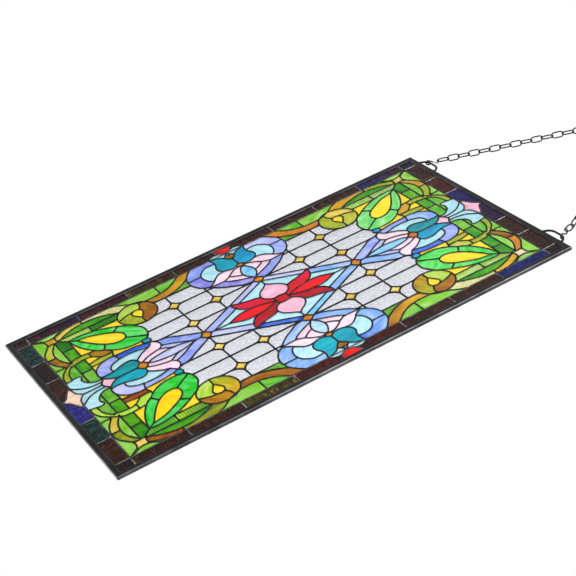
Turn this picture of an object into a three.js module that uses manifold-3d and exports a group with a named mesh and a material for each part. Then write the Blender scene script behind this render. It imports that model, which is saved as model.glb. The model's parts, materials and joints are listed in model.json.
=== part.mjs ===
// A hanging stained glass window: cut glass in lead cames, a zinc frame, and a chain on two hooks.
// The panel stands upright with its front towards -Y, and the origin is where the chain hangs.
// The pattern repeats in four mirrored quarters, so one quarter is drawn and turned over.

import * as THREE from 'three';
import { mergeVertices } from 'three/addons/utils/BufferGeometryUtils.js';
import Module from 'manifold-3d';

const wasm = await Module();
wasm.setup();

// Driving dimensions, in millimetres
const panelWidth = 508;
const panelHeight = 882.5;
const frameFace = 10.5;
const frameDepth = 7;
const frameWeb = 3.2;
const borderWidthSides = 22.5;
const borderWidthEnds = 26.75;
const glassThickness = 3;
const cameDepth = 5;
const cameWidth = 3;
const borderCameWidth = 3.8;
const borderSeamWidth = 3;
const jewelRadius = 14;
const jewelOffset = 13;
const lozengeReach = 38;
const lozengeBelow = 12;
const lozengeShoulder = 11;
const touchGap = 0.3;
const facetTolerance = 2;

// Hanging gear
const loopSpan = 57;
const loopHeight = 16;
const loopWire = 3;
const loopFootLength = 8;
const loopFootWidth = 5;
const loopFootThickness = 1.2;
const loopInset = 56.5;
const loopFlatness = 4;
const hookPlace = 12;
const hookSlack = 2.7;
const hookWire = 2.5;
const hookBowlRadius = 4.5;
const hookReach = 16;
const linkLength = 25;
const linkWidth = 14;
const linkWire = 2.2;
const linkBite = 0.15;
const linksPerSide = 22;
const ringRadius = 11;
const ringWire = 2.6;

const fieldHalfWidth = panelWidth / 2 - frameFace - borderWidthSides;
const fieldHalfHeight = panelHeight / 2 - frameFace - borderWidthEnds;
const sightHalfWidth = panelWidth / 2 - frameFace;
const sightHalfHeight = panelHeight / 2 - frameFace;
const glassHalfWidth = panelWidth / 2 - frameWeb - touchGap;
const glassHalfHeight = panelHeight / 2 - frameWeb - touchGap;

// The drawing counts 221 steps from the panel's centre to the border across, and 404 steps up
function field(across, up) {
  return [(across / 221) * fieldHalfWidth, (up / 404) * fieldHalfHeight];
}

// The lines of one quarter. A main line parts two glass pieces, a fine one lies on the glass.
const cames = [];

function came(points, options = {}) {
  cames.push({ points: points.map(([across, up]) => field(across, up)), width: cameWidth, ...options });
}

function main(points, options = {}) {
  came(points, { main: true, ...options });
}

function ring(across, up, radius, options = {}) {
  const turns = 8;
  const points = [];
  for (let k = 0; k < turns; k += 1) {
    const angle = (k * 2 * Math.PI) / turns;
    points.push([across + radius * Math.cos(angle), up + radius * Math.sin(angle)]);
  }
  came(points, { closed: true, ...options });
}

// A lozenge, the form of the gold bevels
function bevel(across, up, reach) {
  came([[across + reach, up], [across, up + reach], [across - reach, up], [across, up - reach]],
    { closed: true, straight: true });
}

function drawCorner() {
  main([[221, 345], [208.4, 362.7], [186.5, 361.2], [173, 347.5]]);
  // The stem, and the ring of leaves above it
  came([[187, 371], [28, 371]]);
  came([[173, 347.5], [49, 348]]);
  came([[187, 371], [146, 385.8], [106, 370.5], [98, 384], [72, 388]]);
  // The branch that crosses the stem and swells under the leaf
  came([[98, 384], [106, 370.5], [112, 350], [109.5, 325]]);
}

function drawScrollwork() {
  // The arched swoosh, the lens under it and the two reeded strips
  came([[190, 360.5], [205, 332], [211.3, 300], [205.6, 269], [192, 242]]);
  came([[190.5, 361], [190.5, 241]]);
  // Green scroll against the side border, and the amber swoosh below it
  main([[221, 238.5], [204.5, 219], [199.5, 210]]);
  main([[189.5, 188.5], [188.7, 170], [193.7, 142], [210, 118], [221, 106.5]]);
  main([[169.8, 177.7], [169.8, 100.6]]);
}

function drawRosette() {
  ring(162.5, 214.5, 37.5, { main: true });
}

function drawLeaf() {
  main([[173, 347.5], [176.5, 330], [171, 298], [160.6, 274.9], [148, 255], [132, 239], [115, 228],
    [100, 225], [86, 228], [75, 236]]);
  main([[75, 236], [70.8, 249], [71, 264], [77, 285], [88.5, 302.5], [106, 320.5], [128, 335.5], [150, 344.5],
    [173, 347.5]]);
  main([[168, 336.5], [154, 298], [141, 278], [127, 264.5], [115, 260.3], [105, 263.5], [101.3, 275]]);
  main([[101.3, 275], [104.5, 290], [116, 305], [133, 319], [168, 336.5]]);
  came([[138.5, 274.5], [151, 260]]);
  came([[106, 263], [80.5, 233]]);
  came([[112.5, 302], [96, 310.5]]);
  // The round jewel at its foot belongs to the ground above
  main([[75, 236], [66, 232.8], [57.5, 238.5]]);
}

function drawLattice() {
  const reach = 13.5;
  const outer = [130.6, 154.5];
  const lower = [50.3, 154.5];
  const inner = [90, 87.8];
  for (const [across, up] of [outer, lower, inner]) {
    bevel(across, up, reach);
  }
  came([[169.8, outer[1]], [outer[0] + reach, outer[1]]]);
  came([[outer[0] - reach, outer[1]], [lower[0] + reach, lower[1]]]);
  came([[lower[0] - reach, lower[1]], [10, lower[1]]]);
  came([[141.8, inner[1]], [inner[0] + reach, inner[1]]]);
  came([[inner[0] - reach, inner[1]], [47.5, inner[1]]]);
  came([[outer[0], 195], [outer[0], outer[1] + reach]]);
  came([[outer[0], outer[1] - reach], [outer[0], 73]]);
  came([[inner[0], 226.5], [inner[0], inner[1] + reach]]);
  came([[inner[0], inner[1] - reach], [89.5, 19]]);
  came([[lower[0], 229], [lower[0], lower[1] + reach]]);
  came([[lower[0], lower[1] - reach], [lower[0], 80]]);
}

function drawSideFlower() {
  // Outer line of the flower, from the side border to the tip of its bands
  main([[221, 78], [201, 94.3], [175, 101], [150.6, 94.3], [134, 77.9], [113.4, 55], [89.5, 19]]);
  main([[89.5, 19], [90, 11]]);
  main([[90, 11], [80, 0]]);
  came([[100.5, 0], [90, 11]]);
  // The ring round its head, and the pointed lens behind it
  came([[221, 36], [207, 33.2], [194, 67], [175, 75], [147.5, 62.5], [136, 79]]);
  came([[155, 0], [140, 10.5], [118, 10.8], [100.5, 0]]);
}

function drawEndFlower() {
  // Two pale blue petals against the end border
  main([[54, 403.5], [56, 385], [51.5, 375], [42, 377], [32, 375], [17, 357.7], [16.5, 348.5]]);
  main([[0, 357.5], [16.5, 348.5]]);
  // The flower's blue ring, and the pointed lens below it
  main([[16.5, 348.5], [32, 350.8], [49, 346.3], [63.4, 332], [67.7, 306], [64, 269], [57.5, 238.5],
    [51.5, 229.5], [47, 212], [24, 173.6], [11, 154.5]]);
  came([[20, 349.5], [22, 330], [37.7, 324.1], [49, 310.6], [52.3, 283.4], [44.8, 248], [57.5, 238.5]]);
  came([[0, 267], [10, 224], [0, 177]]);
  came([[0, 177], [0, 165.5]]);
  came([[0, 165.5], [11, 154.5]]);
  main([[11, 154.5], [0, 143]]);
}

function drawCentre() {
  // Lozenge of blue bands
  main([[11, 154.5], [52, 79.3], [89.5, 19]]);
  came([[0, 136], [31, 80]]);
  came([[46, 62.1], [80, 2]]);
  came([[0, 143], [0, 109]]);
  // Red petals and pink lobes about the red centre
  main([[38, 77.8], [43.5, 65], [31.5, 28.6]]);
  main([[38, 77.8], [22.7, 70.7], [15.5, 62]]);
  main([[0, 109], [12.7, 85], [15.5, 62]]);
  main([[67.5, 0], [50, 18], [31.5, 28.6]]);
}

// Lines of the border, in real millimetres because they meet the frame
const jewelAcross = fieldHalfWidth + jewelOffset;

function drawBorder() {
  const plain = { width: borderCameWidth, main: true };
  const edgeX = glassHalfWidth + 2 * touchGap;
  const edgeZ = glassHalfHeight + 2 * touchGap;
  const add = (points, options) => cames.push({ points, width: cameWidth, ...options });
  const lozengeTip = [lozengeReach, fieldHalfHeight + lozengeShoulder / 3];
  add([[fieldHalfWidth, 0], [fieldHalfWidth, fieldHalfHeight]], plain);
  add([[lozengeReach * 0.8, fieldHalfHeight], [fieldHalfWidth, fieldHalfHeight]], plain);
  // Corner squares and the joints between border pieces
  const seam = { width: borderSeamWidth };
  add([[fieldHalfWidth, fieldHalfHeight], [edgeX, fieldHalfHeight]], seam);
  add([[fieldHalfWidth, fieldHalfHeight], [fieldHalfWidth, edgeZ]], seam);
  for (const share of [1, 2, 3]) {
    const up = (fieldHalfHeight * share) / 4;
    add([[fieldHalfWidth, up], [edgeX, up]], seam);
  }
  for (const share of [1, 2]) {
    const across = lozengeReach * 0.9 + ((fieldHalfWidth - lozengeReach * 0.9) * share) / 3;
    add([[across, fieldHalfHeight], [across, edgeZ]], seam);
  }
  // Round red jewel at the middle of each side
  const steps = 5;
  const arc = [];
  for (let k = 0; k <= steps; k += 1) {
    const angle = Math.PI - (k * Math.PI * 0.62) / steps;
    arc.push([jewelAcross + jewelRadius * Math.cos(angle), jewelRadius * Math.sin(angle)]);
  }
  arc.push([edgeX, jewelRadius + 2 * touchGap]);
  add(arc, { main: true });
  // Pale lozenge at the middle of each end
  const lozengeTop = [0, edgeZ];
  const lozengeFoot = [0, fieldHalfHeight - lozengeBelow];
  add([lozengeTip, [lozengeReach * 0.66, fieldHalfHeight + lozengeShoulder], lozengeTop], { main: true });
  add([lozengeTip, [lozengeReach / 2, fieldHalfHeight - lozengeBelow / 8], lozengeFoot], { main: true });
}

// Geometry helpers
function simplify(points, tolerance) {
  const first = points[0];
  const last = points[points.length - 1];
  const along = [last[0] - first[0], last[1] - first[1]];
  const length = Math.hypot(...along) || 1;
  let worst = 0;
  let index = 0;
  for (let k = 1; k < points.length - 1; k += 1) {
    const offset = [points[k][0] - first[0], points[k][1] - first[1]];
    const distance = Math.abs(offset[0] * along[1] - offset[1] * along[0]) / length;
    if (distance > worst) {
      worst = distance;
      index = k;
    }
  }
  if (worst < tolerance) {
    return [first, last];
  }
  const head = simplify(points.slice(0, index + 1), tolerance);
  return head.concat(simplify(points.slice(index), tolerance).slice(1));
}

// A smooth line through the drawn points, with only as many facets as it needs
function smooth({ points, closed = false, straight = false }) {
  if (points.length === 2 || straight) {
    return points;
  }
  const knots = points.map(([x, z]) => new THREE.Vector3(x, z, 0));
  const curve = new THREE.CatmullRomCurve3(knots, closed, 'centripetal');
  const fine = curve.getPoints(points.length * 10).map((p) => [p.x, p.y]);
  if (!closed) {
    return simplify(fine, facetTolerance);
  }
  const half = Math.floor(fine.length / 2);
  const joined = simplify(fine.slice(0, half + 1), facetTolerance)
    .concat(simplify(fine.slice(half), facetTolerance).slice(1));
  return joined.slice(0, -1);
}

// Both edges of a strip of the given width along a line
function edges(line, width, closed) {
  const count = line.length;
  const left = [];
  const right = [];
  for (let k = 0; k < count; k += 1) {
    const before = line[closed ? (k + count - 1) % count : Math.max(k - 1, 0)];
    const after = line[closed ? (k + 1) % count : Math.min(k + 1, count - 1)];
    const here = line[k];
    const into = new THREE.Vector2(here[0] - before[0], here[1] - before[1]).normalize();
    const out = new THREE.Vector2(after[0] - here[0], after[1] - here[1]).normalize();
    const along = into.clone().add(out).normalize();
    const bend = Math.max(along.dot(into.lengthSq() > 0 ? into : out), 0.5);
    const reach = width / 2 / bend;
    left.push(new THREE.Vector2(here[0] - along.y * reach, here[1] + along.x * reach));
    right.push(new THREE.Vector2(here[0] + along.y * reach, here[1] - along.x * reach));
  }
  return [left, right];
}

// The line, made longer by the same length at both ends
function longer(line, by) {
  const push = (end, next) => {
    const length = Math.hypot(end[0] - next[0], end[1] - next[1]);
    return [end[0] + ((end[0] - next[0]) * by) / length, end[1] + ((end[1] - next[1]) * by) / length];
  };
  const last = line.length - 1;
  return [push(line[0], line[1]), ...line.slice(1, last), push(line[last], line[last - 1])];
}

function stripShape(line, width, closed) {
  const [left, right] = edges(line, width, closed);
  if (!closed) {
    return new THREE.Shape(left.concat(right.reverse()));
  }
  const outer = Math.abs(THREE.ShapeUtils.area(left)) > Math.abs(THREE.ShapeUtils.area(right)) ? left : right;
  const shape = new THREE.Shape(outer);
  shape.holes.push(new THREE.Path((outer === left ? right : left).reverse()));
  return shape;
}

// A flat plate in the panel's plane, from one depth to another
function plate(shape, front, back) {
  const geometry = new THREE.ExtrudeGeometry(shape, { depth: back - front, bevelEnabled: false });
  geometry.translate(0, 0, -back);
  geometry.rotateX(Math.PI / 2);
  return geometry;
}

function toSolid(geometry) {
  const bare = geometry.clone();
  bare.deleteAttribute('normal');
  bare.deleteAttribute('uv');
  const merged = mergeVertices(bare, 1e-4);
  return new wasm.Manifold(new wasm.Mesh({
    numProp: 3,
    vertProperties: new Float32Array(merged.attributes.position.array),
    triVerts: new Uint32Array(merged.index.array),
  }));
}

function toGeometry(solid) {
  const mesh = solid.getMesh();
  const geometry = new THREE.BufferGeometry();
  geometry.setAttribute('position', new THREE.BufferAttribute(new Float32Array(mesh.vertProperties), 3));
  geometry.setIndex(new THREE.BufferAttribute(new Uint32Array(mesh.triVerts), 1));
  geometry.computeVertexNormals();
  return geometry;
}

function joinAll(solids) {
  let pool = solids;
  while (pool.length > 1) {
    const next = [];
    for (let k = 0; k < pool.length; k += 2) {
      next.push(k + 1 < pool.length ? pool[k].add(pool[k + 1]) : pool[k]);
    }
    pool = next;
  }
  return pool[0];
}

// The separate bodies of one solid
function bodies(geometry) {
  const index = geometry.index.array;
  const place = geometry.attributes.position;
  const parent = Array.from({ length: place.count }, (_, k) => k);
  const find = (k) => {
    let root = k;
    while (parent[root] !== root) {
      parent[root] = parent[parent[root]];
      root = parent[root];
    }
    return root;
  };
  for (let k = 0; k < index.length; k += 3) {
    parent[find(index[k])] = find(index[k + 1]);
    parent[find(index[k + 1])] = find(index[k + 2]);
  }
  const groups = new Map();
  for (let k = 0; k < index.length; k += 3) {
    const root = find(index[k]);
    if (!groups.has(root)) {
      groups.set(root, []);
    }
    groups.get(root).push(index[k], index[k + 1], index[k + 2]);
  }
  return [...groups.values()].map((triangles) => {
    const numbers = new Map();
    const corners = [];
    const order = triangles.map((corner) => {
      if (!numbers.has(corner)) {
        numbers.set(corner, numbers.size);
        corners.push(place.getX(corner), place.getY(corner), place.getZ(corner));
      }
      return numbers.get(corner);
    });
    const body = new THREE.BufferGeometry();
    body.setAttribute('position', new THREE.Float32BufferAttribute(corners, 3));
    body.setIndex(order);
    body.computeVertexNormals();
    return body;
  });
}

// Is a point of the panel's plane on the front face of a body?
function covers(geometry, [x, z]) {
  const place = geometry.attributes.position;
  const index = geometry.index.array;
  const side = (a, b) => (place.getX(b) - place.getX(a)) * (z - place.getZ(a))
    - (place.getZ(b) - place.getZ(a)) * (x - place.getX(a));
  for (let k = 0; k < index.length; k += 3) {
    const [a, b, c] = [index[k], index[k + 1], index[k + 2]];
    const flat = Math.max(place.getY(a), place.getY(b), place.getY(c)) < 0;
    const turns = [side(a, b), side(b, c), side(c, a)];
    if (flat && (turns.every((t) => t >= 0) || turns.every((t) => t <= 0))) {
      return true;
    }
  }
  return false;
}

// Materials
function finish(color, roughness, metalness, opacity = 1) {
  return new THREE.MeshStandardMaterial({ color, roughness, metalness, opacity, transparent: opacity < 1 });
}

const zinc = finish(0x4b4b50, 0.45, 0.9);
const lead = finish(0x2a2a2c, 0.5, 0.8);
const wire = finish(0x1b1b1c, 0.4, 0.9);
const glassColours = {
  green: 0x5fae2f, emerald: 0x3fcf5a, yellow: 0xf7d526, amber: 0xb5801c, clear: 0xdfe3ee, blue: 0x7d9cf0,
  paleBlue: 0xbdf2f7, red: 0xc0101c, dark: 0x2a1512, peach: 0xf6c7a4, scroll: 0x7fa62c,
};

const window = new THREE.Group();

function addPiece(name, geometry, material, height = 0) {
  const piece = new THREE.Mesh(geometry, material);
  piece.name = name;
  piece.position.z = height;
  window.add(piece);
  return piece;
}

// Where the panel hangs: the chain's length sets how far below the origin it is
const hookOffset = hookBowlRadius - hookWire / 2 - touchGap;
const linkCentreLength = linkLength - linkWire;
const linkPitch = linkCentreLength - linkWire + linkBite;
const hookAcross = panelWidth / 2 - loopInset + hookPlace;
const ringHeight = ringWire / 2 - ringRadius;
const loopToHook = hookBowlRadius - (loopWire + hookWire) / 2 - hookSlack;
const hookToLink = hookOffset - linkWire / 2;
const chainStart = loopToHook + hookReach + hookToLink + linkCentreLength / 2;
const chainEnd = chainStart + (linksPerSide - 1) * linkPitch + linkCentreLength / 2;
const hangLength = chainEnd + ringRadius - (linkWire + ringWire) / 2 - touchGap;
const drop = Math.sqrt(hangLength ** 2 - hookAcross ** 2);
const chainLean = Math.asin(hookAcross / hangLength);

// The loop is a flattened arch, and the hook sits near its outer end
function loopProfile(share) {
  const rise = loopHeight - loopWire / 2;
  return rise * (1 - Math.abs(share) ** loopFlatness);
}

const loopTouchHeight = loopProfile((2 * hookPlace) / loopSpan);
const panelTop = ringHeight - drop - loopTouchHeight;
const panelCentre = panelTop - panelHeight / 2;

// Zinc frame: four U channels, mitred, open towards the glass
function frameBar(halfLength) {
  const face = frameDepth / 2;
  const slot = glassThickness / 2 + touchGap;
  const mitreGap = touchGap * 0.75;
  const profile = [[0, -face], [frameFace, -face], [frameFace, -slot], [frameWeb, -slot],
    [frameWeb, slot], [frameFace, slot], [frameFace, face], [0, face]];
  const corners = [];
  for (const end of [-1, 1]) {
    for (const [inward, depth] of profile) {
      corners.push(end * (halfLength - inward - mitreGap), depth, -inward);
    }
  }
  const count = profile.length;
  const order = [];
  for (let k = 0; k < count; k += 1) {
    const next = (k + 1) % count;
    order.push(k, next, k + count, next, next + count, k + count);
  }
  const outline = profile.map(([inward, depth]) => new THREE.Vector2(inward, depth));
  for (const [a, b, c] of THREE.ShapeUtils.triangulateShape(outline, [])) {
    order.push(a, c, b, a + count, b + count, c + count);
  }
  const geometry = new THREE.BufferGeometry();
  geometry.setAttribute('position', new THREE.Float32BufferAttribute(corners, 3));
  geometry.setIndex(order);
  geometry.computeVertexNormals();
  return geometry;
}

function addFrame() {
  const bars = [
    ['frame_top', panelWidth / 2, panelHeight / 2, 0],
    ['frame_right', panelHeight / 2, panelWidth / 2, Math.PI / 2],
    ['frame_bottom', panelWidth / 2, panelHeight / 2, Math.PI],
    ['frame_left', panelHeight / 2, panelWidth / 2, -Math.PI / 2],
  ];
  for (const [name, halfLength, out, turn] of bars) {
    const geometry = frameBar(halfLength);
    geometry.translate(0, 0, out);
    geometry.rotateY(turn);
    addPiece(name, geometry, zinc, panelCentre);
  }
}

// Leading and glass
function quarterLines() {
  drawCorner();
  drawScrollwork();
  drawRosette();
  drawLeaf();
  drawLattice();
  drawSideFlower();
  drawEndFlower();
  drawCentre();
  drawBorder();
  return cames.map((line) => ({ ...line, path: smooth(line) }));
}

function turned(path, [sideX, sideZ]) {
  return path.map(([x, z]) => [x * sideX, z * sideZ]);
}

const quarters = [[-1, -1], [1, -1], [-1, 1], [1, 1]];

function leadSolid(lines, depths, widen, only) {
  const solids = [];
  for (const line of lines.filter(only)) {
    for (const side of quarters) {
      const drawn = turned(line.path, side);
      const path = line.closed ? drawn : longer(drawn, widen);
      const onAxis = line.path.every(([x]) => x === 0) || line.path.every(([, z]) => z === 0);
      if (onAxis && side[0] * side[1] < 0) {
        continue;
      }
      const shape = stripShape(path, line.width + 2 * widen, line.closed);
      for (const [front, back] of depths) {
        solids.push(toSolid(plate(shape, front, back)));
      }
    }
  }
  return joinAll(solids);
}

function rectangle(halfWidth, halfHeight) {
  return new THREE.Shape([[-1, -1], [1, -1], [1, 1], [-1, 1]]
    .map(([x, z]) => new THREE.Vector2(x * halfWidth, z * halfHeight)));
}

// A point inside each glass piece of a quarter, with its name and colour
const glassSeeds = [
  ['corner_scroll', field(160, 393), 'green'],
  ['swoosh_and_lens', field(185, 320), 'scroll'],
  ['rosette', field(185, 215), 'amber'],
  ['leaf', field(120, 240), 'emerald'],
  ['leaf_heart', field(120, 280), 'yellow'],
  ['green_scroll', field(205, 170), 'green'],
  ['amber_swoosh', field(180, 150), 'amber'],
  ['lattice', field(110, 120), 'clear'],
  ['border', [fieldHalfWidth + jewelOffset, fieldHalfHeight * 0.87], 'dark'],
];
const centreSeeds = [
  ['side_flower', field(175, 88), 'blue', [[-1, 1], [1, 1]], ['left', 'right']],
  ['side_jewel', [jewelAcross, jewelRadius / 8], 'red', [[-1, 1], [1, 1]], ['left', 'right']],
  ['end_petals', field(10, 375), 'paleBlue', [[1, -1], [1, 1]], ['bottom', 'top']],
  ['end_flower', field(58, 300), 'blue', [[1, -1], [1, 1]], ['bottom', 'top']],
  ['end_jewel', [jewelRadius / 4, fieldHalfHeight], 'peach', [[1, -1], [1, 1]], ['bottom', 'top']],
];

function addPanel() {
  const lines = quarterLines();
  const half = cameDepth / 2;
  const seat = glassThickness / 2 + touchGap;
  const isMain = (line) => line.main;
  const isFine = (line) => !line.main;
  const through = leadSolid(lines, [[-half, half]], 0, isMain);
  const fine = leadSolid(lines, [[-half, -seat]], 0, isFine);
  const sheetEdge = touchGap;
  const within = toSolid(plate(rectangle(sightHalfWidth - sheetEdge, sightHalfHeight - sheetEdge), -half, half));
  addPiece('leading', toGeometry(through.add(fine).intersect(within)), lead, panelCentre);

  const sheet = toSolid(plate(rectangle(glassHalfWidth, glassHalfHeight), -glassThickness / 2, glassThickness / 2));
  const cut = leadSolid(lines, [[-half, half]], touchGap, isMain);
  const pieces = bodies(toGeometry(sheet.subtract(cut)));
  const wanted = [];
  quarters.forEach(([sideX, sideZ]) => {
    const place = `${sideZ > 0 ? 'upper' : 'lower'}_${sideX < 0 ? 'left' : 'right'}`;
    for (const [name, [x, z], colour] of glassSeeds) {
      wanted.push([`${name}_${place}`, [x * sideX, z * sideZ], colour]);
    }
  });
  for (const [name, [x, z], colour, sides, places] of centreSeeds) {
    sides.forEach(([sideX, sideZ], k) => {
      wanted.push([`${name}_${places[k]}`, [x * sideX, z * sideZ], colour]);
    });
  }
  wanted.push(['centre_bands', field(60, 50), 'blue']);
  wanted.push(['centre_flower', field(3, 3), 'red']);
  for (const [name, place, colour] of wanted) {
    const body = pieces.find((piece) => covers(piece, place));
    if (body && !body.taken) {
      body.taken = true;
      addPiece(`glass_${name}`, body, finish(glassColours[colour], 0.25, 0, 0.7), panelCentre);
    }
  }
}

// A tube of few sides along an open or closed path
function tube(points, radius, sides, closed, steps) {
  const curve = new THREE.CatmullRomCurve3(points, closed, 'centripetal');
  const section = [];
  for (let k = 0; k < sides; k += 1) {
    const angle = ((k + 0.5) * 2 * Math.PI) / sides;
    section.push(new THREE.Vector2(radius * Math.cos(angle), radius * Math.sin(angle)));
  }
  return new THREE.ExtrudeGeometry(new THREE.Shape(section), { steps, extrudePath: curve, bevelEnabled: false });
}

// Hanging loop: an arch of wire with flattened feet, soldered on top of the frame
function addLoop(name, side) {
  const centre = side * (panelWidth / 2 - loopInset);
  const points = [];
  const steps = 12;
  const foot = touchGap + loopFootThickness / 2;
  for (let k = 0; k <= steps; k += 1) {
    const share = Math.cos((Math.PI * (steps - k)) / steps);
    points.push(new THREE.Vector3(share * (loopSpan - loopWire) / 2, 0, Math.max(loopProfile(share), foot)));
  }
  const arch = toSolid(tube(points, loopWire / 2, 6, false, steps));
  const feet = [-1, 1].map((end) => {
    const pad = new THREE.BoxGeometry(loopFootLength, loopFootWidth, loopFootThickness);
    pad.translate(end * (loopSpan - loopFootLength / 2) / 2, 0, foot);
    return toSolid(pad);
  });
  const cutter = new THREE.BoxGeometry(loopSpan * 2, loopSpan, loopWire * 2);
  cutter.translate(0, 0, touchGap - loopWire);
  const geometry = toGeometry(arch.add(feet[0]).add(feet[1]).subtract(toSolid(cutter)));
  geometry.translate(centre, 0, 0);
  addPiece(name, geometry, wire, panelTop);
}

// Turns a piece built along +Z so that it follows one side of the chain
function alongChain(geometry, side, distance) {
  geometry.translate(0, 0, distance);
  geometry.rotateY(-side * chainLean);
  geometry.translate(side * hookAcross, 0, panelTop + loopTouchHeight);
  return geometry;
}

// S hook: one bowl round the loop's wire, the other round the first link
function addHook(name, side) {
  const open = Math.PI * 0.28;
  const points = [];
  const steps = 7;
  const bowl = (centreHeight, from, to) => {
    for (let k = 0; k <= steps; k += 1) {
      const angle = from + ((to - from) * k) / steps;
      const out = hookBowlRadius * Math.cos(angle);
      points.push(new THREE.Vector3(0, out, centreHeight + hookBowlRadius * Math.sin(angle)));
    }
  };
  bowl(0, open, -Math.PI * 1.05);
  bowl(hookReach, -Math.PI * 0.05, Math.PI + -open);
  const geometry = tube(points, hookWire / 2, 6, false, 20);
  addPiece(name, alongChain(geometry, side, loopToHook), wire);
}

// One link, long way along Z, lying in the XZ plane or turned a quarter
function linkGeometry(turnedQuarter) {
  const sides = 4;
  const halfLength = linkCentreLength / 2;
  const halfWidth = (linkWidth - linkWire) / 2;
  const corner = halfWidth * 0.72;
  const shoulder = halfLength - corner;
  const tip = halfWidth - corner;
  const path = [[halfWidth, shoulder], [tip, halfLength], [-tip, halfLength], [-halfWidth, shoulder],
    [-halfWidth, -shoulder], [-tip, -halfLength], [tip, -halfLength], [halfWidth, -shoulder]];
  const radius = linkWire / 2;
  const corners = [];
  const count = path.length;
  for (let k = 0; k < count; k += 1) {
    const [before, here, after] = [path[(k + count - 1) % count], path[k], path[(k + 1) % count]];
    const into = new THREE.Vector2(here[0] - before[0], here[1] - before[1]).normalize();
    const out = new THREE.Vector2(after[0] - here[0], after[1] - here[1]).normalize();
    const along = into.clone().add(out).normalize();
    const reach = radius / along.dot(into);
    for (let s = 0; s < sides; s += 1) {
      const angle = (s * 2 * Math.PI) / sides;
      const outward = reach * Math.cos(angle);
      corners.push(here[0] + along.y * outward, radius * Math.sin(angle), here[1] - along.x * outward);
    }
  }
  const order = [];
  for (let k = 0; k < count; k += 1) {
    const next = (k + 1) % count;
    for (let s = 0; s < sides; s += 1) {
      const turn = (s + 1) % sides;
      const [a, b, c, d] = [k * sides + s, next * sides + s, next * sides + turn, k * sides + turn];
      order.push(a, d, b, d, c, b);
    }
  }
  const geometry = new THREE.BufferGeometry();
  geometry.setAttribute('position', new THREE.Float32BufferAttribute(corners, 3));
  geometry.setIndex(order);
  if (turnedQuarter) {
    geometry.rotateZ(Math.PI / 2);
  }
  return geometry;
}

function addChain(name, side) {
  const links = [];
  for (let k = 0; k < linksPerSide; k += 1) {
    const link = linkGeometry(k % 2 === 1);
    links.push(toSolid(alongChain(link, side, chainStart + k * linkPitch)));
  }
  addPiece(name, toGeometry(joinAll(links)), wire);
}

// The ring that both sides of the chain hang from
function addRing() {
  const geometry = new THREE.TorusGeometry(ringRadius, ringWire / 2, 6, 16);
  geometry.rotateX(Math.PI / 2);
  geometry.translate(0, 0, ringHeight);
  addPiece('hanging_ring', toGeometry(toSolid(geometry)), wire);
}

addFrame();
addPanel();
for (const [place, side] of [['left', -1], ['right', 1]]) {
  addLoop(`hanging_loop_${place}`, side);
  addHook(`hook_${place}`, side);
  addChain(`chain_${place}`, side);
}
addRing();

export default window;
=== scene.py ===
import json
import math
import random

import bmesh
import bpy
import numpy as np
from mathutils import Matrix, Vector, noise
from mathutils.geometry import delaunay_2d_cdt


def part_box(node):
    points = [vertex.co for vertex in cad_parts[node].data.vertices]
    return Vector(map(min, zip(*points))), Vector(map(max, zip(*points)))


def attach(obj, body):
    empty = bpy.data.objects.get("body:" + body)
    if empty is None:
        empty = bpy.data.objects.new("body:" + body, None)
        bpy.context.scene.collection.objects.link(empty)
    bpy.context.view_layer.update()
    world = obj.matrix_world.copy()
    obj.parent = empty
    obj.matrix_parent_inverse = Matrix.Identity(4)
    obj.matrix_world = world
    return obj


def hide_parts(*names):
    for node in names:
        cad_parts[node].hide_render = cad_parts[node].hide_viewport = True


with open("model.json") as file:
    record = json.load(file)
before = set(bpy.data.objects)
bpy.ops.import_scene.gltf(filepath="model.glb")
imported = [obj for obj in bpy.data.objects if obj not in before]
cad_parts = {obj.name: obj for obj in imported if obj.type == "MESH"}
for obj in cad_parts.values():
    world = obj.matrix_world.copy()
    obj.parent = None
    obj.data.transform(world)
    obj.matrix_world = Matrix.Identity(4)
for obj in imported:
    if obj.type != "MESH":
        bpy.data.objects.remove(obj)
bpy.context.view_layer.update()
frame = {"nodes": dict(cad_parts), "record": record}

# The panel is drawn in millimetres about its own centre: x across, z up, y into the panel
MM = 0.001
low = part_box("frame_left")[0]
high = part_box("frame_right")[1]
HALF_W = (high.x - low.x) / 2 / MM
HALF_H = (high.z - low.z) / 2 / MM
CENTRE = Vector((0, 0, (high.z + low.z) / 2))
TOP = high.z / MM
FACE = 10.5
FIELD_W = HALF_W - FACE - 22.5
FIELD_H = HALF_H - FACE - 26.75
SIGHT_W = HALF_W - FACE
SIGHT_H = HALF_H - FACE
GLASS_W = HALF_W - 3.5
GLASS_H = HALF_H - 3.5
GLASS_T = 3.0
LEAD_DEPTH = 4.9
LEAD_W = 3.7
# Half the drawn width and height of the coloured field, in the units of the came lines below
DRAWN_W = 221
DRAWN_H = 404
# Each open line runs on by this much where the glass is cut, so that it meets the line it ends on
RUN_ON = 2.2
# Rings of a domed or bevelled pane: how far out each lies, as a share, and how high
DOME = ((1, 1.0), (0.85, 1.6), (0.6, 2.1), (0.3, 2.35))
BEVEL = ((1, 0.9), (0.5, 1.9))
BEVEL_WAIST = 0.43
rng = random.Random(11)


def place(x, y, z):
    return (x * MM, y * MM, z * MM + CENTRE.z)


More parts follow.
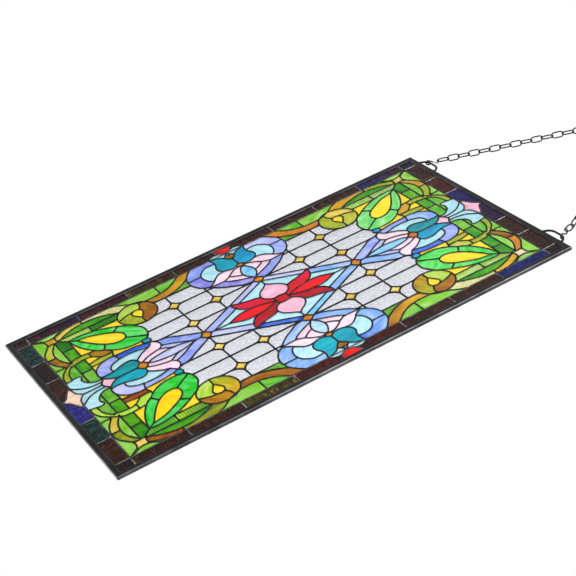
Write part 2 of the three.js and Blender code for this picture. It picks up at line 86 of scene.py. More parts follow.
# Smooth lines through a few drawn points
def smooth(points, step=3.0, closed=False):
    if len(points) == 2:
        dense = [np.array(points[0], float), np.array(points[1], float)]
    else:
        knots = [np.array(p, float) for p in points]
        if closed:
            ring = [knots[-1]] + knots + knots[:2]
        else:
            ring = [2 * knots[0] - knots[1]] + knots + [2 * knots[-1] - knots[-2]]
        dense = []
        for k in range(1, len(ring) - 2):
            a, b, c, d = ring[k - 1:k + 3]
            t1 = np.linalg.norm(b - a) ** 0.5
            t2 = t1 + np.linalg.norm(c - b) ** 0.5
            t3 = t2 + np.linalg.norm(d - c) ** 0.5
            for t in np.linspace(t1, t2, 12, endpoint=False):
                a1 = (t1 - t) / t1 * a + t / t1 * b
                a2 = (t2 - t) / (t2 - t1) * b + (t - t1) / (t2 - t1) * c
                a3 = (t3 - t) / (t3 - t2) * c + (t - t2) / (t3 - t2) * d
                b1 = (t2 - t) / t2 * a1 + t / t2 * a2
                b2 = (t3 - t) / (t3 - t1) * a2 + (t - t1) / (t3 - t1) * a3
                dense.append((t2 - t) / (t2 - t1) * b1 + (t - t1) / (t2 - t1) * b2)
        dense.append(ring[-2])
    dense = np.array(dense)
    run = np.concatenate([[0], np.cumsum(np.linalg.norm(np.diff(dense, axis=0), axis=1))])
    count = max(int(round(run[-1] / step)), 1)
    at = np.linspace(0, run[-1], count + 1)
    return np.stack([np.interp(at, run, dense[:, k]) for k in range(dense.shape[1])], 1)


lines = []


def on_panel(x, z):
    return x * FIELD_W / DRAWN_W, z * FIELD_H / DRAWN_H


def came(points, width=LEAD_W, silver=0.0, closed=False):
    scaled = [on_panel(x, z) for x, z in points]
    lines.append((smooth(scaled, closed=closed), width, silver, closed))


def circle(x, z, radius):
    turns = [2 * math.pi * k / 16 for k in range(16)]
    came([(x + radius * math.cos(t), z + radius * math.sin(t)) for t in turns], closed=True)


def bevel(x, z, reach):
    waist = reach * BEVEL_WAIST
    for sx, sz in ((1, 1), (-1, 1), (-1, -1), (1, -1)):
        came([(x + sx * reach, z), (x + sx * waist, z + sz * waist), (x, z + sz * reach)])


# One quarter of the lead pattern, measured from the panel's two centre lines
def draw_corner():
    came([(221, 404), (214.9, 395.6), (205, 384), (196, 382), (187.7, 383.4), (179, 388.8), (165, 398),
          (152, 401), (140.6, 401.3), (120.6, 396.3), (102, 385)])
    came([(221, 404), (213.4, 389), (208.4, 381.3), (206.6, 372), (208.4, 362.7), (213.4, 354.9),
          (221, 345)])
    came([(208.4, 362.7), (197, 363.4), (186.5, 361.2)])
    came([(187.7, 383.4), (189, 372), (186.5, 361.2), (174, 347.7)])
    came([(187.5, 370), (106.5, 370)])
    came([(93.5, 370), (28, 370)])
    came([(174, 347.7), (150, 348.5), (111.7, 348.7)])
    came([(98, 348.7), (49, 348.8), (32, 350.6), (17.7, 349.1)])
    came([(148, 370), (148, 348.5)])
    came([(59.5, 370), (59.5, 348.5)])
    came([(188.5, 368), (180.6, 374.1), (167.7, 381.3), (154.9, 384.9), (143.4, 385.3), (132, 383.9),
          (119, 379.9), (107.7, 373.4), (102, 370)])
    came([(142, 385.3), (141.5, 401.3)])
    came([(102, 385), (94.9, 384.9), (84.9, 393.4), (73.4, 399.1), (60.6, 401.7), (50.6, 401.3)])
    came([(95, 374), (90.6, 378.4), (80.6, 384.9), (70.6, 388.4), (54.5, 390)])
    came([(102, 385), (99, 391), (101, 404)])
    came([(95, 384.9), (104.9, 372), (110.6, 363.4), (111.9, 349.1), (109.5, 325)])
    came([(92, 377.5), (94.1, 369.1), (97, 357.7), (98, 346.3), (95.6, 336.6), (87.7, 327.7),
          (81.3, 320.6), (80.3, 312), (81, 300)])
    came([(110.5, 335.6), (95.5, 335.6)])
    came([(76.6, 348.5), (80.9, 326.3), (80.3, 306.3)])
    came([(65.1, 348.5), (65.1, 322)])
    came([(88, 301), (81, 301.5), (67.5, 305.1)])


def draw_scrollwork():
    came([(189.5, 360.8), (198.4, 346.3), (204.9, 332), (209.4, 317.7), (211.3, 298), (209.9, 283.4),
          (205.6, 269.1), (199.9, 254.9), (192, 241.5)])
    came([(191.3, 361.5), (191.3, 239.5)])
    came([(191.3, 301.3), (172.5, 301.3)])
    came([(171.3, 304), (171.3, 250)])
    came([(207, 361.5), (210.5, 353.5), (214.6, 346.5), (218.4, 336.3), (221, 322)])
    came([(221, 305.6), (211, 305.6)])
    came([(221, 243), (212, 227.7), (204.9, 219.1), (197, 206.3), (190.6, 192), (188.9, 172),
          (190.6, 152), (196.6, 135), (204.9, 122.1), (221, 104.5)])
    came([(221, 154), (190.3, 154)])
    came([(175, 180.5), (171.3, 173.6), (169.9, 163.6), (170.6, 152.1), (173.4, 137.9), (179.1, 123.6),
          (184.9, 113.6), (195.5, 98)])
    came([(169.9, 179), (169.9, 100.7)])


def draw_rosette():
    circle(162.4, 214.7, 37.5)
    came([(173.5, 214), (171, 221), (163, 225), (153, 220), (144.6, 213.8), (153, 207.5), (163, 203.5),
          (171, 207)], closed=True)
    came([(161.6, 252.2), (167.7, 239.1), (170.9, 230.6), (171.4, 221)])
    came([(197, 200), (184, 200.6), (172.5, 206.5)])
    came([(144.6, 213.8), (125, 213.8)])


def draw_leaf():
    came([(174, 347.7), (175.9, 336.3), (174.9, 320.6), (171.3, 303.4), (165.6, 287.7), (159.1, 274.9),
          (151.3, 262), (141.5, 249), (136.5, 240.5), (123.4, 233.4), (113.4, 227.7), (103.4, 225.9),
          (92, 227), (80.6, 231.3), (73.5, 237)])
    came([(174, 347.7), (157.7, 344.9), (146.3, 342), (134.9, 337.7), (123.4, 332), (112, 324.9),
          (103.4, 317.7), (97, 309.1), (86.3, 299.1), (79.1, 289.1), (73.4, 276.3), (71.3, 262),
          (72, 247.7), (73.5, 237)])
    came([(165.6, 335.4), (163.4, 326.3), (159.9, 312), (152.7, 297.7), (144.1, 283.4), (135.6, 272),
          (126.3, 264.1), (117.7, 261.3), (108.4, 262.7), (103.4, 267.7), (101.7, 276.3), (103.4, 284.9),
          (107.7, 293.4), (116.3, 303.4), (126.3, 312), (139.1, 320.6), (152, 328.2), (165.6, 335.4)])
    came([(139.5, 272.5), (150.5, 260)])
    came([(105.5, 264.5), (81.5, 231.5)])
    came([(114, 301), (97.5, 309.8)])
    came([(174, 347.7), (164.9, 334.6)])
    circle(65.9, 240.9, 7.9)


def draw_lattice():
    reach = 13.5
    outer, lower, inner = (130.5, 154.4), (50, 154.4), (90, 87.6)
    for x, z in (outer, lower, inner):
        bevel(x, z, reach)
    came([(170, outer[1]), (outer[0] + reach, outer[1])])
    came([(outer[0] - reach, outer[1]), (lower[0] + reach, lower[1])])
    came([(lower[0] - reach, lower[1]), (10.5, lower[1])])
    came([(142.5, inner[1]), (inner[0] + reach, inner[1])])
    came([(inner[0] - reach, inner[1]), (47.5, inner[1])])
    came([(outer[0], 195), (outer[0], outer[1] + reach)])
    came([(outer[0], outer[1] - reach), (outer[0], 73)])
    came([(inner[0], 227), (inner[0], inner[1] + reach)])
    came([(inner[0], inner[1] - reach), (89.5, 20)])
    came([(lower[0], 228), (lower[0], lower[1] + reach)])
    came([(lower[0], lower[1] - reach), (lower[0], 82)])


def draw_side_flower():
    came([(221, 78.5), (206.3, 90.7), (194.9, 97.9), (182, 100.3), (170.6, 100.7), (159.1, 97.9),
          (147.7, 92.1), (140.6, 85), (134.9, 77.9), (122, 66.4), (112, 55), (103.4, 42.1), (94.1, 27.9),
          (90.6, 16.4), (90, 10)])
    came([(202.7, 33), (204.1, 49.3), (201.3, 57.9), (194.1, 66.4), (184.9, 72.1), (174.9, 73.9),
          (163.4, 72.1), (154.9, 68.6), (147.4, 62.9), (135.8, 77.5)])
    came([(182, 100.3), (182, 72.8)])
    came([(221, 36.8), (210.7, 33.8), (204, 33.2), (195.7, 35), (187.3, 38.8), (181, 40), (173.2, 38.5),
          (167, 34), (163.2, 28), (161, 19.6), (162.5, 6)])
    came([(221, 33), (217.3, 24.6), (213.2, 16.3), (207.3, 11.3), (199.8, 6.3), (192, 0)])
    came([(207.3, 11.3), (215.5, 3.5), (221, 0.8)])
    came([(221, 37.5), (227, 32), (230.2, 21.3), (228.6, 12.5)])
    came([(213, 5.5), (211, 0)])
    came([(196, 0), (170, 0)])
    came([(170, 0), (162, 8.2), (154.4, 0)])
    came([(147.4, 62.9), (158, 53), (164, 44.6), (165, 31)])
    came([(134.9, 77.5), (133.6, 50.5), (134.8, 44.6), (138.2, 38.8), (141.5, 33.8), (147.3, 28),
          (152.3, 21.3), (156.5, 14.6), (158.2, 4.5)])
    came([(140.5, 34.5), (134.8, 28), (129.8, 21.3), (125.3, 12.5)])
    came([(133.6, 49.5), (125.7, 42.1), (119, 32.1), (113.2, 21.3), (108.2, 11.3), (104.5, 3)])
    came([(157, 0), (147, 7.4), (137, 11.6), (127, 12.8), (117, 10.6), (108, 5.4), (100, 0)])
    came([(101, 0), (90, 10.6), (79, 0)])


def draw_end_flower():
    came([(52, 404), (52.7, 393.4), (55.1, 384.9), (54.1, 376.3), (48.7, 374.2), (44.5, 377.3),
          (39.5, 377.7), (33.7, 376.4), (27, 372.7), (22, 367.7), (17.8, 361), (16, 349.2)])
    came([(31, 404), (22, 394.3), (15.3, 386), (11.2, 376), (9.1, 366), (8.7, 353.5)])
    came([(0, 392.5), (0, 357)])
    came([(0, 356.8), (6, 354.5), (12, 350.5), (17, 347.2)])
    came([(17, 347.5), (10, 341.5), (5, 335.5), (0, 327)])
    came([(32, 350.6), (42, 349.1), (52, 344.1), (60.6, 334.9), (65.6, 323.4), (67.4, 312), (66.6, 304.9),
          (65.9, 290.6), (64.6, 269.1), (60.9, 250.6), (57.4, 238.4), (51.3, 229.3)])
    came([(22, 324.6), (32, 325.6), (41.3, 320.6), (46.6, 312), (49.9, 302), (51.6, 287.7), (50.6, 269.1),
          (46.3, 254.9), (44.4, 247)])
    came([(67.4, 304.7), (50, 300.3)])
    came([(58.4, 237.4), (44.6, 247), (40.6, 256.3), (32, 269.1), (22.7, 278.9)])
    came([(22.5, 349), (21, 337.7), (22.4, 326.3), (26, 314.9), (30.3, 304.9), (32, 293.4), (28.4, 284.9),
          (21.3, 279.9), (11, 278.8)])
    came([(0, 328), (0, 289)])
    came([(0, 289.5), (11, 278.4), (0, 267)])
    came([(56, 235), (49.9, 229.9), (42, 226.6), (32.7, 227.7), (24, 233.6), (18.9, 226.3), (13.4, 219.1),
          (9.4, 211)])
    came([(24.5, 232), (24, 240), (21.5, 250), (17.5, 262), (11, 273), (9.5, 277)])
    came([(0, 267), (4.1, 262), (7.4, 252), (9.6, 240), (11.4, 225), (10.6, 212), (6.6, 193), (0, 176)])
    came([(32, 227.5), (20.6, 206.4), (10.6, 192.1), (0, 176)])
    came([(51.3, 229.3), (47.4, 212.1), (34.9, 192.1), (23.1, 173.6), (10.8, 154.4)])
    came([(0, 176), (0, 165)])
    came([(0, 165.2), (11, 154.4), (0, 143.4)])


def draw_centre():
    came([(10.8, 154.4), (52, 79.3), (89.7, 12)])
    came([(0, 138.5), (34.5, 75.4)])
    came([(43.5, 67.4), (81, 0)])
    came([(0, 144), (0, 107)])
    came([(80, 0), (65.6, 0)])
    came([(51.5, 80.3), (46.3, 70.7), (40.6, 55), (36.3, 37.9), (32, 28.3), (23.4, 25), (16.3, 20),
          (10, 11)])
    came([(52, 80), (42, 79.5), (32, 76.4), (22, 69.3), (13.8, 58)])
    came([(0, 108), (5.1, 97.9), (11.3, 85), (14.1, 70.7), (13.4, 56.4), (11.3, 42.1), (6.3, 27.9),
          (0, 13)])
    came([(65.6, 0), (58.4, 6.4), (50.6, 16.4), (42, 23.6), (32, 27.5)])
    came([(0, 12.5), (10, 11), (12, 0)])


def draw_border():
    plain = {"width": 3.9, "silver": 0.25}
    seam = {"width": 3.2, "silver": 1.0}
    edge_x = (GLASS_W + 1) * DRAWN_W / FIELD_W
    edge_z = (GLASS_H + 1) * DRAWN_H / FIELD_H
    came([(DRAWN_W, 0), (DRAWN_W, DRAWN_H)], **plain)
    came([(31, DRAWN_H), (DRAWN_W, DRAWN_H)], **plain)
    came([(DRAWN_W, DRAWN_H), (edge_x, DRAWN_H)], **seam)
    came([(DRAWN_W, DRAWN_H), (DRAWN_W, edge_z)], **seam)
    for z in (104, 203.5, 303):
        came([(DRAWN_W, z), (edge_x, z)], **seam)
    for x in (78, 147.5):
        came([(x, DRAWN_H), (x, edge_z)], **seam)
    came([(221.8, 0), (223.2, 5), (228.4, 12.6), (236, 16.6), (edge_x, 18)], silver=0.6)
    came([(0, edge_z), (0, 429.5), (4.5, 425.2), (9.5, 420.2), (17.8, 416), (26, 412), (33.5, 407.3),
          (38, 404)], silver=0.4)
    came([(33.5, 407), (28, 404.5), (19.5, 403), (14.5, 402.3), (7.8, 398.5), (0, 391.5)], silver=0.3)


for draw in (draw_corner, draw_scrollwork, draw_rosette, draw_leaf, draw_lattice, draw_side_flower,
             draw_end_flower, draw_centre, draw_border):
    draw()

# Glass colours as they look with light behind: the main colour and its streaks
TINTS = {
    "amber": ("b07018", "d49a34"), "cream": ("ecca82", "faeac0"), "umber": ("74440f", "986420"),
    "lightgreen": ("58a832", "84cc50"), "green": ("3c8e26", "68b040"), "midgreen": ("286c16", "4c9628"),
    "darkgreen": ("1a5012", "3a7c20"), "lime": ("82c42c", "aadc50"), "palelime": ("94d644", "b6ea74"),
    "oliveyellow": ("94981e", "bcc044"), "leafolive": ("7cac2c", "a8cc54"),
    "straw": ("bcba62", "dcd890"), "golden": ("eea80c", "fcca2c"), "jewelred": ("bc0014", "d40c2a"),
    "olive": ("708020", "94a234"), "darkolive": ("586020", "7c8634"), "ochre": ("b49024", "d2b84c"),
    "brown": ("68380f", "8e5c24"), "burnt": ("ac5014", "cc7a28"), "red": ("b8142a", "d8283e"),
    "redbrown": ("743812", "925228"), "yellow": ("f7be14", "fed838"), "emerald": ("26b434", "60da64"),
    "mint": ("44c448", "84e87a"), "deepemerald": ("12a02a", "44ca50"), "gold": ("ba861c", "eec458"),
    "blue": ("4c62dc", "8a9ef4"), "violet": ("5e5ed4", "9a98ee"), "lavender": ("98a0ee", "b8c0f8"),
    "periwinkle": ("6476e6", "94a4f4"), "cornflower": ("5080ea", "8eb4f8"),
    "deepblue": ("1c3cc0", "4a76e8"), "tealcyan": ("02708e", "1896ae"), "azure": ("046c9c", "2092c4"),
    "teal": ("026e88", "1890a4"), "darkteal": ("06626e", "1e8890"), "palecyan": ("84cde2", "ace2f0"),
    "palepink": ("f0bcd8", "f8d8e8"), "pink": ("f090b2", "f6b2ca"), "skyblue": ("4a9eec", "7cc0f6"),
    "paleblue": ("84bcf2", "acd4f8"), "maroon": ("7e0c1c", "a82036"), "brightred": ("e00418", "ec1c34"),
    "deepred": ("98040f", "c01830"), "peach": ("f2b48c", "fbd8c0"), "clear": ("c2c6d8", "d8dbe8"),
}
# Darker rippled glass of the border: its own dark colour, and a lighter colour that paints the highlights on
# its ripples
DARK_TINTS = {
    "brown": ("240c05", "854826"), "black": ("0f0706", "532b1d"), "maroon": ("28050e", "892b41"),
    "purple": ("180929", "532f82"), "blue": ("09114f", "3656d1"), "olive": ("2d2209", "b09732"),
    "redbrown": ("370a05", "97361f"), "indigo": ("13094c", "483db0"), "teal": ("051518", "368c77"),
    "violet": ("18156e", "5e58c6"), "night": ("0e0926", "342865"),
}
# A point in each glass piece of a quarter, and its glass in the lower left, upper left, lower right and upper
# right; unnamed pieces are clear, and a name such as brown>umber fades along the piece
SEEDS = [
    (197, 372, "amber gold gold cream"), (196, 394, "lightgreen"), (215, 372, "lightgreen"),
    (219, 342, "lightgreen"),
    (165, 391, "oliveyellow amber darkolive burnt"), (122, 388, "umber olive ochre brown"),
    (146, 378, "lightgreen"), (99.5, 379, "olive olive lime olive"),
    (104, 359, "oliveyellow lime lime olive"), (104, 342, "oliveyellow lime lime olive"),
    (93, 320, "umber amber lime oliveyellow"), (73, 325, "olive olive redbrown olive"),
    (160, 359, "darkgreen"), (128, 359, "midgreen"), (80, 359, "midgreen"), (40, 359, "green"),
    (76, 391, "lime amber green umber"), (72, 379, "lightgreen"), (120, 401, "lightgreen"),
    (80, 401, "lightgreen"), (130, 343, "yellow"), (88, 341, "yellow"), (59, 341, "yellow"),
    (71, 290, "yellow"), (216, 330, "ochre olive brown amber"), (216, 275, "straw amber darkolive straw"),
    (201, 300, "midgreen"), (212, 350, "green"), (182, 325, "lime palelime green palelime"),
    (182, 270, "darkgreen palelime darkgreen>lime palelime"), (163, 262, "yellow"),
    (120, 235, "emerald mint deepemerald emerald"), (85, 265, "emerald mint deepemerald emerald"),
    (165, 305, "emerald mint deepemerald emerald"), (125, 325, "emerald mint deepemerald emerald"),
    (125, 285, "yellow yellow golden yellow"), (66, 241, "tealcyan azure tealcyan azure"),
    (185, 225, "leafolive ochre umber umber"), (150, 190, "umber olive olive>amber umber>olive"),
    (140, 230, "olive oliveyellow leafolive leafolive"), (163, 214, "yellow"),
    (181, 150, "amber>umber burnt brown>umber umber>amber"), (205, 190, "lightgreen"), (203, 138, "green"),
    (177, 108, "green"), (130.5, 154.4, "gold"), (50, 154.4, "gold"), (90, 87.6, "gold"),
    (200, 84, "blue lavender cornflower deepblue>cornflower"),
    (150, 80, "violet periwinkle cornflower cornflower"),
    (115, 48, "violet periwinkle cornflower cornflower"), (195, 25, "tealcyan azure tealcyan teal"),
    (185, 58, "palecyan"), (216, 20, "palecyan"), (216, 1.5, "palecyan"), (226, 20, "palecyan"),
    (204, 3, "umber"), (162, 3, "burnt"), (150, 45, "palepink"), (134, 38, "palepink"),
    (140, 20, "palepink"), (127, 4, "skyblue skyblue paleblue paleblue"), (118, 22, "palecyan"),
    (94, 2, "burnt"), (86, 2, "burnt"), (44, 338, "periwinkle cornflower lavender periwinkle"),
    (59, 275, "deepblue periwinkle periwinkle deepblue"), (12, 312, "darkteal darkteal tealcyan azure"),
    (40, 300, "palecyan"), (38, 246, "palepink"), (15, 250, "palepink"), (3, 278, "burnt"),
    (4, 225, "lavender skyblue lavender skyblue"), (36, 208, "blue periwinkle periwinkle cornflower"),
    (15, 205, "lavender"), (3, 154, "burnt"), (3, 342, "pink"), (16, 380, "palecyan"),
    (42, 390, "palecyan"), (4, 380, "palecyan"), (40, 374, "green"), (12, 356, "palecyan"),
    (30, 110, "periwinkle cornflower lavender cornflower"), (72, 28, "lavender lavender deepblue skyblue"),
    (13, 105, "palecyan"), (58, 25, "palecyan"), (25, 50, "red red maroon maroon"), (5, 60, "brightred"),
    (42, 10, "pink"), (4, 4, "deepred"), (4, 410, "peach pink peach pink"), (237, 5, "jewelred"),
]
DARK_SEEDS = [
    (236, 50, "brown brown redbrown redbrown"), (236, 150, "brown>olive brown olive brown"),
    (236, 250, "maroon brown brown brown"), (236, 350, "purple>maroon blue>maroon brown blue"),
    (236, 420, "brown night black black"), (180, 420, "teal brown brown brown"),
    (110, 420, "black redbrown teal brown"), (60, 420, "brown indigo violet purple"),
]
# Reeded strips, domed jewels and bevelled squares
REEDED = [(182, 325), (182, 270), (177, 108)]
DOMED = [(66, 241), (237, 5)]
BEVELLED = [(130.5, 154.4), (50, 154.4), (90, 87.6), (197, 372), (4, 410)]


def linear(code):
    parts = [int(code[k:k + 2], 16) / 255 for k in (0, 2, 4)]
    return [c / 12.92 if c <= 0.04045 else ((c + 0.055) / 1.055) ** 2.4 for c in parts]


# Light meets the tint on the way in and on the way out, and a fifth of it only once
def glass_tint(code, kind):
    if kind == "dark":
        return linear(code)
    return [(math.sqrt(0.04 + 2.56 * max(c - 0.03, 0.0) / 0.97) - 0.2) / 1.28 for c in linear(code)]


# The glass pieces: what the lead lines leave between them in one quarter
def quarter_panes():
    points, edges = [], []

    def add(path, closed):
        first = len(points)
        path = [Vector(p) for p in path]
        if not closed:
            path[0] = path[0] + (path[0] - path[1]).normalized() * RUN_ON
            path[-1] = path[-1] + (path[-1] - path[-2]).normalized() * RUN_ON
        points.extend(path)
        edges.extend((first + k, first + k + 1) for k in range(len(path) - 1))

    for path, _, _, closed in lines:
        add(path, closed)
    corners = [(0, 0), (GLASS_W, 0), (GLASS_W, GLASS_H), (0, GLASS_H), (0, 0)]
    add(corners, True)
    verts, cdt_edges, faces, _, sources, _ = delaunay_2d_cdt(points, edges, [], 0, 0.02, True)
    walls = {tuple(sorted(e)) for e, s in zip(cdt_edges, sources) if s}
    inside = []
    for face in faces:
        c = (verts[face[0]] + verts[face[1]] + verts[face[2]]) / 3
        if 0 < c.x < GLASS_W and 0 < c.y < GLASS_H:
            inside.append(face)
    parent = list(range(len(inside)))

    def find(k):
        while parent[k] != k:
            parent[k] = parent[parent[k]]
            k = parent[k]
        return k

    seen = {}
    for k, face in enumerate(inside):
        for a, b in ((0, 1), (1, 2), (2, 0)):
            key = tuple(sorted((face[a], face[b])))
            if key in walls:
                continue
            if key in seen:
                parent[find(k)] = find(seen[key])
            seen[key] = k
    groups = {}
    for k, face in enumerate(inside):
        groups.setdefault(find(k), []).append(face)
    panes = []
    for faces_of in groups.values():
        best, best_area = None, -1
        for face in faces_of:
            a, b, c = (verts[v] for v in face)
            size = abs((b - a).cross(c - a)) / 2
            if size > best_area:
                best, best_area = (a + b + c) / 3, size
        panes.append({"faces": faces_of, "inside": best})
    return [np.array(v) for v in verts], panes


def in_triangles(x, z, tris):
    a, b, c = tris[:, 0], tris[:, 1], tris[:, 2]

    def side(p, q):
        return (q[:, 0] - p[:, 0]) * (z - p[:, 1]) - (q[:, 1] - p[:, 1]) * (x - p[:, 0])

    s = np.stack([side(a, b), side(b, c), side(c, a)])
    return bool(np.any(np.all(s >= 0, 0) | np.all(s <= 0, 0)))


verts2d, panes = quarter_panes()
for pane in panes:
    tris = np.array([[verts2d[v] for v in face] for face in pane["faces"]])
    pane["tint"] = None
    for table, seeds in ((TINTS, SEEDS), (DARK_TINTS, DARK_SEEDS)):
        for x, z, names in seeds:
            if pane["tint"] is None and in_triangles(*on_panel(x, z), tris):
                names = names.split()
                names = names if len(names) == 4 else names * 4
                pane["tint"] = [[table[n] for n in name.split(">")] for name in names]
                pane["kind"] = "dark" if table is DARK_TINTS else "art"
    if pane["tint"] is None:
        pane["tint"] = [[TINTS["clear"]]] * 4
        pane["kind"] = "clear"
    pane["cut"] = "flat"
    for cut, spots in (("reeded", REEDED), ("domed", DOMED), ("bevelled", BEVELLED)):
        if any(in_triangles(*on_panel(x, z), tris) for x, z in spots):
            pane["cut"] = cut

# Which packed glass node a pane belongs to
nodes = {}
for name, obj in frame["nodes"].items():
    if name.startswith("glass_"):
        co = np.array([v.co for v in obj.data.vertices])
        flat = np.stack([co[:, 0] / MM, (co[:, 2] - CENTRE.z) / MM], 1)
        nodes[name] = np.array([[flat[v] for v in p.vertices] for p in obj.data.polygons])


def node_at(x, z):
    for reach in (0, 1.2, 2.4, 4.0):
        for turn in range(8 if reach else 1):
            px = x + reach * math.cos(turn * math.pi / 4)
            pz = z + reach * math.sin(turn * math.pi / 4)
            for name, tris in nodes.items():
                if in_triangles(px, pz, tris):
                    return name
    return None


# Node tools
def new_material(name):
    material = bpy.data.materials.new(name)
    material.use_nodes = True
    tree = material.node_tree
    shader = tree.nodes["Principled BSDF"]
    return material, tree, shader


def add_node(tree, kind, **values):
    node = tree.nodes.new(kind)
    for key, value in values.items():
        if key.startswith("in_"):
            node.inputs[key[3:].replace("_", " ")].default_value = value
        else:
            setattr(node, key, value)
    return node


def mix_colour(tree, factor, a, b, blend="MIX"):
    node = tree.nodes.new("ShaderNodeMix")
    node.data_type = "RGBA"
    node.blend_type = blend
    for socket, value in ((node.inputs[0], factor), (node.inputs[6], a), (node.inputs[7], b)):
        if isinstance(value, bpy.types.NodeSocket):
            tree.links.new(value, socket)
        else:
            socket.default_value = value
    return node.outputs[2]


def ramp(tree, source, stops):
    node = tree.nodes.new("ShaderNodeValToRGB")
    tree.links.new(source, node.inputs[0])
    while len(node.color_ramp.elements) < len(stops):
        node.color_ramp.elements.new(0.5)
    for element, (at, value) in zip(node.color_ramp.elements, stops):
        element.position = at
        element.color = (value, value, value, 1)
    return node.outputs[0]


def bump(tree, shader, height, strength, distance):
    node = add_node(tree, "ShaderNodeBump", in_Strength=strength, in_Distance=distance)
    tree.links.new(height, node.inputs["Height"])
    tree.links.new(node.outputs[0], shader.inputs["Normal"])


def art_glass(name, transmission, roughness, ripple, ripple_size, streaks, streak_and_highlight_size, stops, index=1.33,
              reeds=0):
    material, tree, shader = new_material(name)
    links = tree.links
    first = add_node(tree, "ShaderNodeAttribute", attribute_name="tint_main")
    second = add_node(tree, "ShaderNodeAttribute", attribute_name="tint_streak_and_painted_highlight")
    seed = add_node(tree, "ShaderNodeAttribute", attribute_name="pane_seed")
    turn = add_node(tree, "ShaderNodeAttribute", attribute_name="pane_turn")
    where = add_node(tree, "ShaderNodeTexCoord")
    moved = add_node(tree, "ShaderNodeVectorMath", operation="ADD")
    links.new(where.outputs["Object"], moved.inputs[0])
    links.new(seed.outputs["Vector"], moved.inputs[1])
    rotated = add_node(tree, "ShaderNodeVectorRotate", rotation_type="Y_AXIS")
    links.new(moved.outputs[0], rotated.inputs["Vector"])
    links.new(turn.outputs["Fac"], rotated.inputs["Angle"])
    stretched = add_node(tree, "ShaderNodeMapping")
    stretched.inputs["Scale"].default_value = streaks
    links.new(rotated.outputs[0], stretched.inputs["Vector"])
    wisps = add_node(tree, "ShaderNodeTexNoise", in_Scale=streak_and_highlight_size, in_Detail=6, in_Roughness=0.6,
                     in_Distortion=1.4)
    links.new(stretched.outputs[0], wisps.inputs["Vector"])
    cloud = add_node(tree, "ShaderNodeTexNoise", in_Scale=150, in_Detail=3, in_Roughness=0.55)
    links.new(stretched.outputs[0], cloud.inputs["Vector"])
    # A second colour in wisps: real streaks in the art glass, painted highlights of the ripples in the dark
    # border glass
    share = ramp(tree, wisps.outputs[0], ((stops[0], 0), (stops[1], 1)))
    tint = mix_colour(tree, share, first.outputs["Color"], second.outputs["Color"])
    shade = ramp(tree, cloud.outputs[0], ((0.3, 0.82), (0.7, 1.0)))
    tint = mix_colour(tree, 1.0, tint, shade, "MULTIPLY")
    if reeds:
        surface = add_node(tree, "ShaderNodeTexWave", bands_direction="Z", in_Scale=reeds, in_Distortion=0.8,
                           in_Detail=1)
        links.new(rotated.outputs[0], surface.inputs["Vector"])
        # The grooves of the reeded glass are painted darker, as shade in them
        groove_painted_shade = ramp(tree, surface.outputs["Fac"], ((0.1, 0.42), (0.42, 1.0)))
        tint = mix_colour(tree, 1.0, tint, groove_painted_shade, "MULTIPLY")
        height = surface.outputs["Fac"]
    else:
        surface = add_node(tree, "ShaderNodeTexNoise", in_Scale=ripple_size, in_Detail=2, in_Distortion=0.4)
        links.new(rotated.outputs[0], surface.inputs["Vector"])
        height = surface.outputs[0]
    links.new(tint, shader.inputs["Base Color"])
    bump(tree, shader, height, ripple, 0.0012)
    shader.inputs["Transmission Weight"].default_value = transmission
    shader.inputs["Roughness"].default_value = roughness
    shader.inputs["IOR"].default_value = index
    return material


ART = art_glass("streaky art glass", 0.8, 0.18, 0.35, 110, (1.0, 1.0, 0.35), 48, (0.4, 0.62))
REED = art_glass("reeded art glass", 0.8, 0.15, 0.35, 110, (1.0, 1.0, 0.35), 48, (0.4, 0.62), 1.33, 62)
# The dark glass's lighter strokes are painted highlights on its ripples
DARK = art_glass("dark rippled glass", 0.6, 0.1, 1.0, 260, (0.25, 1.0, 1.0), 230, (0.5, 0.74), 1.22)


def clear_glass():
    material, tree, shader = new_material("clear textured glass")
    where = add_node(tree, "ShaderNodeTexCoord")
    cells = add_node(tree, "ShaderNodeTexNoise", in_Scale=360, in_Detail=3, in_Distortion=0.6)
    tree.links.new(where.outputs["Object"], cells.inputs["Vector"])
    haze = ramp(tree, cells.outputs[0], ((0.4, 0.89), (0.6, 1.0)))
    tint = mix_colour(tree, 1.0, (0.905, 0.918, 1.0, 1), haze, "MULTIPLY")
    tree.links.new(tint, shader.inputs["Base Color"])
    bump(tree, shader, cells.outputs[0], 0.8, 0.0012)
    shader.inputs["Transmission Weight"].default_value = 1.0
    shader.inputs["Roughness"].default_value = 0.08
    shader.inputs["IOR"].default_value = 1.33
    return material


CLEAR = clear_glass()


